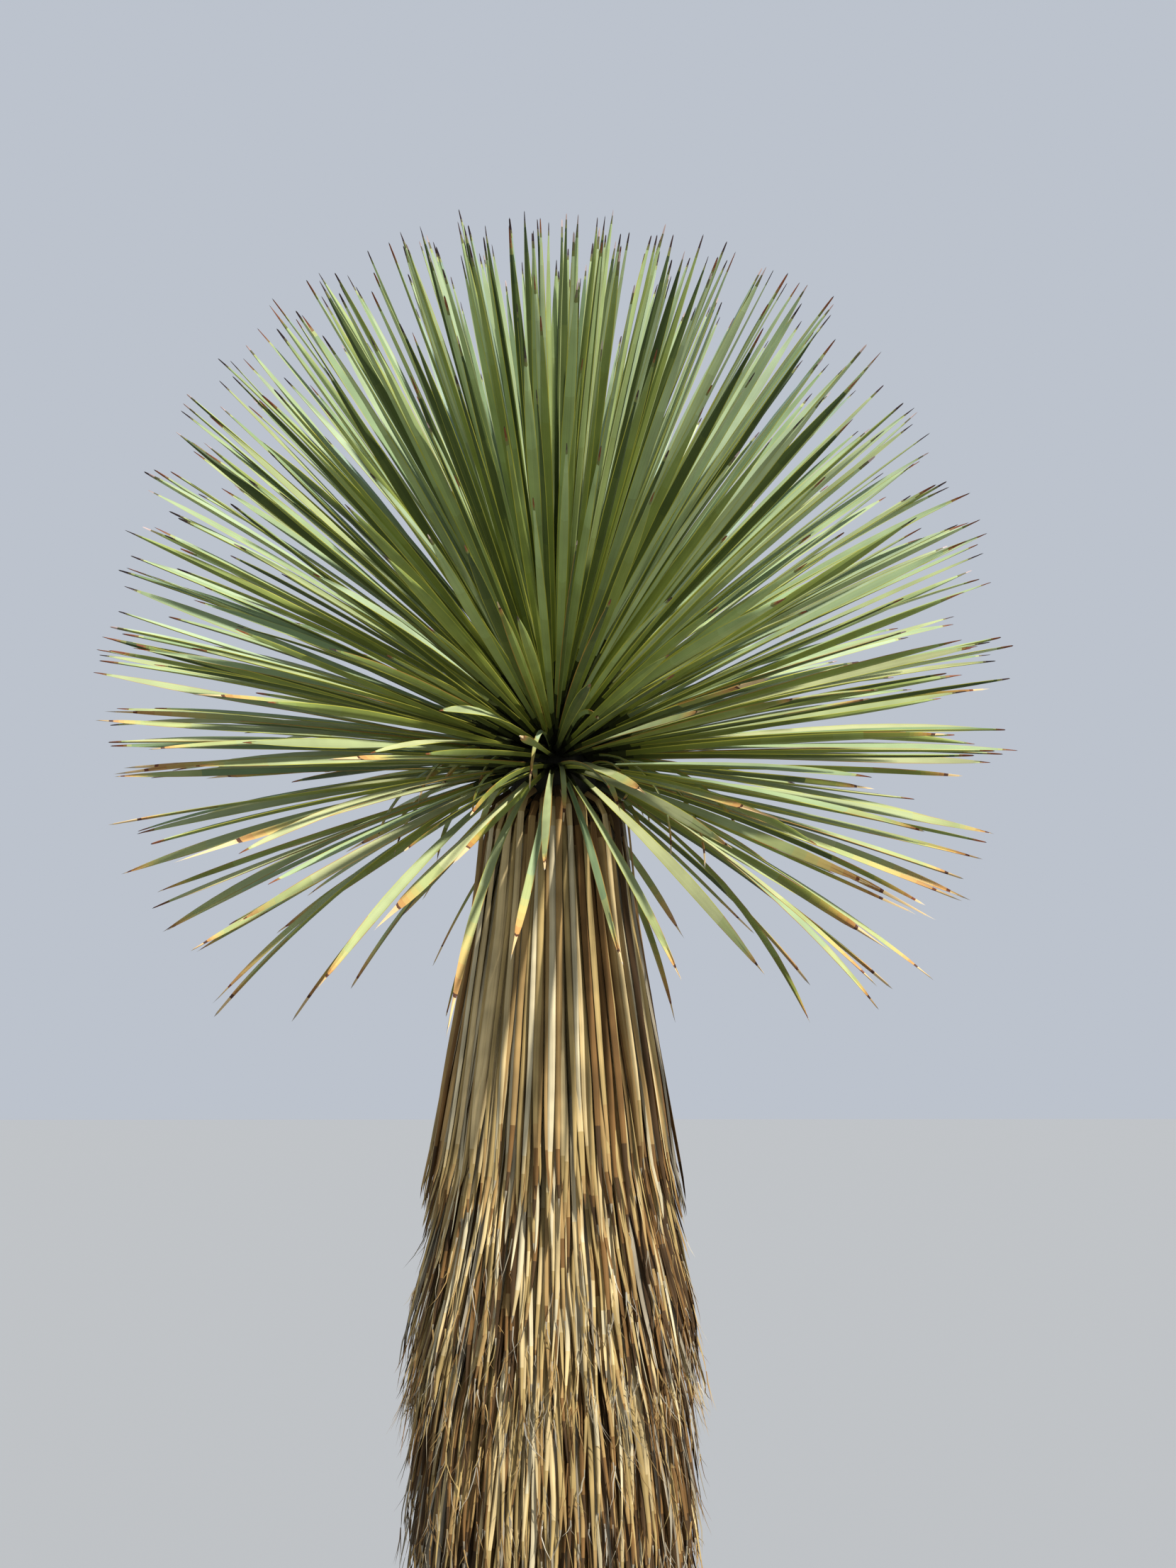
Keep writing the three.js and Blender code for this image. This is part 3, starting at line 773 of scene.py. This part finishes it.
strapSettings = {
    "shoulder": 0.02,  # how far down a leaf turns from level to hanging
    "layerPower": 0.8,
    "thinnest": 0.001,  # that all the layers together count as
    "gap": 0.004,  # between the trunk and the first layer
    "worn": (1.9, 5),  # the height from which leaves are worn, and how fast that grows below it
    "loose": 0.003,
    "wave": (0.003, 7),  # its depth, and how many radians a leaf
    "looseEnd": (0.007, 4),  # of a worn leaf: some ends stand off, some turn in. Depth and power.
    "lean": (1.8, 1.4),  # degrees, and how many more when worn. The same goes for the sway.
    "sway": (0.7, 0.8),
    "swayWaves": (5, 7),
    "roll": 14,
    "twist": (60, 3),  # degrees, and power
    # by the height it hangs from
    "halfWidths": [(0.25, 0.0040), (1.5, 0.0042), (1.75, 0.0048), (1.93, 0.0053)],
    "widthPlay": (0.72, 0.56),
    "widthPower": 1.5,
    "thickness": (0.4, 0.8),  # share of the half width
    "rings": [0, 0.03, 0.08, 0.18, 0.32, 0.46, 0.6, 0.7, 0.78, 0.85, 0.9, 0.94, 0.975],
    "ringShift": 0.07,  # so that the stains of two leaves never start level
    "widths": [(0, 1.5), (0.05, 1.15), (0.12, 1), (0.62, 1), (0.8, 0.85), (0.92, 0.6), (1, 0.2)],
    # bellied outward
    "section": [(-1, -0.8), (-0.62, -0.1), (0, 0.16), (0.62, -0.1), (1, -0.8), (0, -0.22)],
}
strawSettings = {
    "paintedShade": 1.88,  # a leaf that hangs from higher up gets painted shade at its root, for the crown's own shadow
    "fresh": (1.85, -0.12),  # the height above which leaves are fresh, and how it varies
    "freshMargin": 0.04,
    "worn": (1.3, 0.3),  # and the height below which they are the oldest
    "furrow": (-0.12, -0.4),  # how deep in a furrow a leaf is painted dark, as painted shade
    "dullSide": 0.72,  # share of the leaves that are dull at either side, but none at the front: partly weathering, partly painted shade on the sides
    "dullFresh": 0.5,  # how much of that goes for fresh ones
    "paintedShadeRight": 0.5,  # more of them on the right, as painted shade
    "dullMost": 0.75,
    "mingled": 0.6,  # how far the dull brown ones, on the right, mix with the grey ones
    "brownBacks": 0.6,
    "stain": (1.24, 1.38, 0.05),  # heights between which leaves are stained, give or take
    "stained": 0.45,  # share of them
    "darkStained": 0.5,  # share of these that are darker still in the lower half
    "weathered": 0.5,  # share of the fresh leaves with a weathered end, like all the others
    "endSteps": (1, 2.4),  # how much darker that gets
    "endRings": 4,
    "greyEnds": 0.3,  # share of the weathered ends that are grey at the tip
}
freshStraws = [("paleStraw", 4), ("khakiStraw", 6), ("goldStraw", 5), ("tanStraw", 2)]
# painted shade for leaves deep in a furrow
furrowShadeStraws = [("brownStraw", 4), ("tanStraw", 5), ("darkStraw", 2), ("khakiStraw", 2)]
wornStraws = [("paleStraw", 8), ("goldStraw", 8), ("khakiStraw", 4), ("tanStraw", 2), ("brownStraw", 1)]
oldestStraws = [("paleStraw", 4), ("goldStraw", 4), ("khakiStraw", 4), ("tanStraw", 4), ("brownStraw", 5),
                ("greyStraw", 6), ("darkStraw", 2)]
# darker browns: partly weathering, partly painted shade at the sides and on the right
brownAndShadeStraws = [("brownStraw", 6), ("tanStraw", 4), ("greyStraw", 2), ("darkStraw", 3)]
greyedStraws = [("greyStraw", 8), ("brownStraw", 3), ("khakiStraw", 1), ("darkStraw", 4)]
strawsByAge = ["paleStraw", "goldStraw", "khakiStraw", "tanStraw", "brownStraw", "darkStraw"]
threadSettings = {
    "straws": [("greyStraw", 6), ("silverStraw", 2), ("khakiStraw", 3), ("tanStraw", 3),
               ("brownStraw", 4)],
    "below": 1.8,  # only leaves that hang from below this height have threads
    "most": 4.2,  # on one leaf
    "seedStep": 3,  # from one leaf to the next
    "start": 0.6,  # share of the way from a leaf's last ring to its end
    "halfWidth": 0.0006,
    "widthPlay": (0.6, 0.9),
    "taper": (1.4, -1.1),  # at the root, and how it changes to the end
    "length": 0.042,
    "lengthPlay": (0.4, 1.2),
    "curlAside": 0.5,
    "curlOut": (-0.1, 0.3),
    "wave": 0.0016,
    "waves": (3, 5),
    "rings": [0, 0.3, 0.65],
    "section": [(-1, -0.4), (0, 0.8), (1, -0.4)],
}
waveShift = 6  # radians by which a wave is shifted, at most


def outerRadius(height):
    return np.interp(height, *zip(*skirtSettings["outline"]))


def darker(straw, steps):
    if straw not in strawsByAge:
        return straw
    return strawsByAge[min(strawsByAge.index(straw) + steps, len(strawsByAge) - 1)]


def ageBelow(pair, hang):  # 0 above the height that the pair starts with, then growing to 1
    return min(1, max(0, (pair[0] - hang) * pair[1]))


def clumpAt(hang, azimuth):
    aroundGrain, upGrain = clumpSettings["grain"]
    spot = (math.cos(azimuth) * aroundGrain, math.sin(azimuth) * aroundGrain, hang * upGrain)
    return clumpSettings["strength"] * noise.noise(spot) * ageBelow(clumpSettings["from"], hang)


def strapRadius(i, hang, azimuth, heights, shares):
    strap = strapSettings
    stem = np.array([trunkRadius(h) for h in heights])
    reach = np.minimum(heights + skirtSettings["length"], skirtSettings["highest"]) - heights
    layer = np.clip((hang - heights) / np.maximum(reach, strap["thinnest"]), 0, 1) ** strap["layerPower"]
    shoulder = np.clip((hang - heights) / strap["shoulder"], 0, 1)
    shoulder = np.sqrt(1 - (1 - shoulder) ** 2)
    depth, waves = strap["wave"]
    loose = strap["loose"] * swing(i, 21) * shares
    loose = loose + depth * np.sin(shares * waves + waveShift * draw(i, 22)) * shares
    depth, power = strap["looseEnd"]
    loose += ageBelow(strap["worn"], hang) * depth * swing(i, 27) * shares ** power
    loose += clumpSettings["depth"] * clumpAt(hang, azimuth) * shares
    return stem + strap["gap"] + (outerRadius(heights) - stem - strap["gap"]) * layer * shoulder + loose


def strapLine(i, hang, length, azimuth, shares):
    strap = strapSettings
    shares = np.append(shares, 1.0)
    heights = hang - length * shares
    radius = strapRadius(i, hang, azimuth, heights, shares)
    worn = ageBelow(strap["worn"], hang)
    waves = shares * grow(strap["swayWaves"], draw(i, 28)) + waveShift * draw(i, 24)
    lean = radians(grow(strap["lean"], worn)) * swing(i, 23) * shares
    lean += radians(grow(strap["sway"], worn)) * np.sin(waves) * shares
    angle = azimuth + lean
    centres = np.stack([radius * np.cos(angle), radius * np.sin(angle), heights], -1)
    along = np.gradient(centres, axis=0)
    along /= np.linalg.norm(along, axis=1)[:, None]
    flat = np.stack([-np.sin(angle), np.cos(angle), np.zeros_like(angle)], -1)
    flat -= along * np.sum(flat * along, axis=1)[:, None]
    flat /= np.linalg.norm(flat, axis=1)[:, None]
    twist, power = strap["twist"]
    turn = radians(strap["roll"]) * swing(i, 25) + radians(twist) * swing(i, 26) ** power * shares
    turn = turn[:, None]
    across = flat * np.cos(turn) + np.cross(along, flat) * np.sin(turn)
    return centres, across, np.cross(along, across)


def strawsFor(i, hang, azimuth, clump):
    straws = strawSettings
    fresh = grow(straws["fresh"], draw(i, 31))
    # dull leaves at the sides are partly weathering, partly painted shade; the extra ones on the right
    # are painted shade
    dullAndShade = straws["dullSide"] * (1 + math.sin(azimuth)) * (straws["dullFresh"] if hang > fresh else 1)
    dullAndShade = min(straws["dullMost"], dullAndShade + straws["paintedShadeRight"] * max(0, math.cos(azimuth)))
    # a leaf deep in a furrow takes darker tones, as painted shade
    if clump < grow(straws["furrow"], draw(i, 30)):
        return furrowShadeStraws
    if draw(i, 35) < dullAndShade:
        brown = hang > fresh or math.cos(azimuth) > straws["mingled"] * swing(i, 29)
        return brownAndShadeStraws if brown else greyedStraws
    if hang > fresh - straws["freshMargin"]:
        return freshStraws
    return wornStraws if hang > grow(straws["worn"], draw(i, 31)) else oldestStraws


def strapSlots(i, hang, azimuth, clump, heights, sides):
    straws = strawSettings
    table = strawsFor(i, hang, azimuth, clump)
    face = pick(table, i, 32)
    back = "brownStraw" if draw(i, 33) < straws["brownBacks"] else "tanStraw"
    slots = np.tile([slotOf[face]] * (sides - 2) + [slotOf[back]] * 2, (len(heights), 1))
    low, high, stray = straws["stain"]
    stained = (heights > low + stray * swing(i, 36)) & (heights < high + stray * swing(i, 29))
    if draw(i, 34) < straws["stained"]:
        slots[stained] = slotOf[darker(face, 1)]
        if draw(i, 30) < straws["darkStained"]:
            slots[stained & (heights < (low + high) / 2)] = slotOf[darker(face, 2)]
    # painted shade: the root of a leaf that hangs high is darker, for the crown's shadow
    if hang > straws["paintedShade"]:
        slots[0] = slotOf[darker(face, 2)]
        slots[1] = slotOf[darker(face, 1)]
    if table is not freshStraws or draw(i, 38) < straws["weathered"]:
        rings = straws["endRings"]
        steps = grow(straws["endSteps"], draw(i, 39))
        for n in range(rings):
            slots[n - rings] = slotOf[darker(face, round(steps * (n + 1) / rings))]
        if draw(i, 37) < straws["greyEnds"]:
            slots[-1] = slotOf["greyStraw"]
    return slots


def addThread(store, i, end, along, across, outward):
    # a fibre that has split from the end of a dead leaf and curls away
    thread = threadSettings
    length = thread["length"] * grow(thread["lengthPlay"], draw(i, 51))
    length = min(length, end[2] - skirtSettings["groundGap"])
    shares = np.append(np.array(thread["rings"]), 1.0)
    curl = shares ** 2 * length
    drift = across * swing(i, 52) * thread["curlAside"] + outward * grow(thread["curlOut"], draw(i, 53))
    start = waveShift * draw(i, 55)
    wave = np.sin(shares * grow(thread["waves"], draw(i, 54)) + start) - math.sin(start)
    centres = end + along * (shares * length)[:, None] + drift * curl[:, None]
    centres = centres + across * (thread["wave"] * wave)[:, None]
    path = np.gradient(centres, axis=0)
    path /= np.linalg.norm(path, axis=1)[:, None]
    side = across - path * (path @ across)[:, None]
    side /= np.linalg.norm(side, axis=1)[:, None]
    normals = np.cross(path, side)
    halfWidths = thread["halfWidth"] * grow(thread["taper"], shares[:-1])
    halfWidths = halfWidths * grow(thread["widthPlay"], draw(i, 56))
    section = np.array(thread["section"])
    slots = np.full((len(shares) - 1, len(section)), slotOf[pick(thread["straws"], i, 57)])
    line = (centres[:-1], side[:-1], normals[:-1], centres[-1])
    addStrip(store, line, shares[:-1], halfWidths, halfWidths, section, slots, i, length)


def addThreads(store, seed, hang, centres, across, outward):  # returns how many
    if hang >= threadSettings["below"]:
        return 0
    count = int(threadSettings["most"] * draw(seed, 46))
    last = centres[-1] - centres[-2]
    for n in range(count):
        start = centres[-2] + last * threadSettings["start"]
        number = seed * threadSettings["seedStep"] + n
        addThread(store, number, start, last / np.linalg.norm(last), across, outward)
    return count


def strapLength(seed, hang):
    skirt = skirtSettings
    age = (skirt["highest"] - hang) / skirt["highest"]
    share = 1 + skirt["lengthPlay"] * swing(seed, 40) - skirt["lengthLost"] * age * draw(seed, 41)
    length = skirt["length"] * share
    length += skirt["tierDepth"] * math.sin(2 * math.pi * hang / skirt["tierPitch"])
    return min(length, hang - skirt["groundGap"] - skirt["groundPlay"] * draw(seed, 42))


def tierOf(hang, length):
    middle = hang - length / 2
    for name, foot in skirtSettings["tiers"]:
        if middle > foot - skirtSettings["tierMargin"]:
            return name
    return skirtSettings["tiers"][-1][0]


def addStrap(store, seed, hang, length, azimuth):  # returns how many threads it has
    strap = strapSettings
    rings = np.array(strap["rings"])
    section = np.array(strap["section"])
    shares = rings + 4 * strap["ringShift"] * swing(seed, 48) * rings * (1 - rings)  # most of it halfway
    centres, across, normals = strapLine(seed, hang, length, azimuth, shares)
    line = (centres[:-1], across[:-1], normals[:-1], centres[-1])
    halfWidth = float(np.interp(hang, *zip(*strap["halfWidths"])))
    widths = np.interp(shares, *zip(*strap["widths"]))
    halfWidths = halfWidth * widths * grow(strap["widthPlay"], draw(seed, 44) ** strap["widthPower"])
    lifts = halfWidths * grow(strap["thickness"], draw(seed, 45))
    heights = hang - length * shares
    slots = strapSlots(seed, hang, azimuth, clumpAt(hang, azimuth), heights, len(section))
    addStrip(store, line, shares, halfWidths, lifts, section, slots, seed, length)
    return addThreads(store, seed, hang, centres, across[-1], normals[-1])


def makeSkirt():
    skirt = skirtSettings
    stores = {}
    threads = 0
    for i in range(skirt["count"]):
        seed = skirt["seed"] + i
        hang = skirt["highest"] + (skirt["lowest"] - skirt["highest"]) * (i + 0.5) / skirt["count"]
        length = strapLength(seed, hang)
        azimuth = (i * goldenAngle + radians(skirt["turnPlay"]) * swing(seed, 43)) % (2 * math.pi)
        number = int(azimuth / (2 * math.pi) * skirt["masses"]) + 1
        store = stores.setdefault((tierOf(hang, length), number), newStore())
        threads += addStrap(store, seed, hang, length, azimuth)
    for (tier, number), store in sorted(stores.items()):
        makePiece(f"{tier}Straws{number}", store, [f"skirt_{tier}_{number}"])
    print("skirt:", skirt["count"], "dead leaves and", threads, "threads in", len(stores), "pieces")


makeSkirt()


# Floor and light

lightSettings = {
    "sky": (0.74, 0.8, 0.9),
    "skyStrength": 0.68,
    "sunTone": (1, 0.97, 0.92),
    "sunFrom": (0.6, -0.85, 1.28),
    "sunStrength": 6.3,
    "sunSize": 0.9,  # degrees across, for how soft its shadows are
}
floorSettings = {
    "tone": (0.24, 0.25, 0.262),
    "rough": 0.9,
    "size": 60,
    "height": -0.001,
}


def makeSky():
    bpy.context.scene.view_settings.view_transform = "Standard"
    world = bpy.data.worlds.new("paleSky")
    bpy.context.scene.world = world
    world.use_nodes = True
    background = world.node_tree.nodes["Background"]
    background.inputs["Color"].default_value = (*lightSettings["sky"], 1)
    background.inputs["Strength"].default_value = lightSettings["skyStrength"]


def makeSun():
    data = bpy.data.lights.new("sun", "SUN")
    data.energy = lightSettings["sunStrength"]
    data.angle = radians(lightSettings["sunSize"])
    data.color = lightSettings["sunTone"]
    sun = bpy.data.objects.new("sun", data)
    sun.rotation_euler = Vector(lightSettings["sunFrom"]).to_track_quat("Z", "Y").to_euler()
    bpy.context.scene.collection.objects.link(sun)


def makeFloor():
    half, height = floorSettings["size"] / 2, floorSettings["height"]
    mesh = bpy.data.meshes.new("floor")
    corners = [(-half, -half, height), (half, -half, height), (half, half, height), (-half, half, height)]
    mesh.from_pydata(corners, [], [[0, 1, 2, 3]])
    paint = bpy.data.materials.new("floorPaint")
    paint.use_nodes = True
    shader = paint.node_tree.nodes["Principled BSDF"]
    shader.inputs["Base Color"].default_value = (*floorSettings["tone"], 1)
    shader.inputs["Roughness"].default_value = floorSettings["rough"]
    mesh.materials.append(paint)
    floor = bpy.data.objects.new("floor", mesh)
    bpy.context.scene.collection.objects.link(floor)


makeSky()
makeSun()
makeFloor()
print("stage: floor, sky and sun")

bpy.context.view_layer.update()
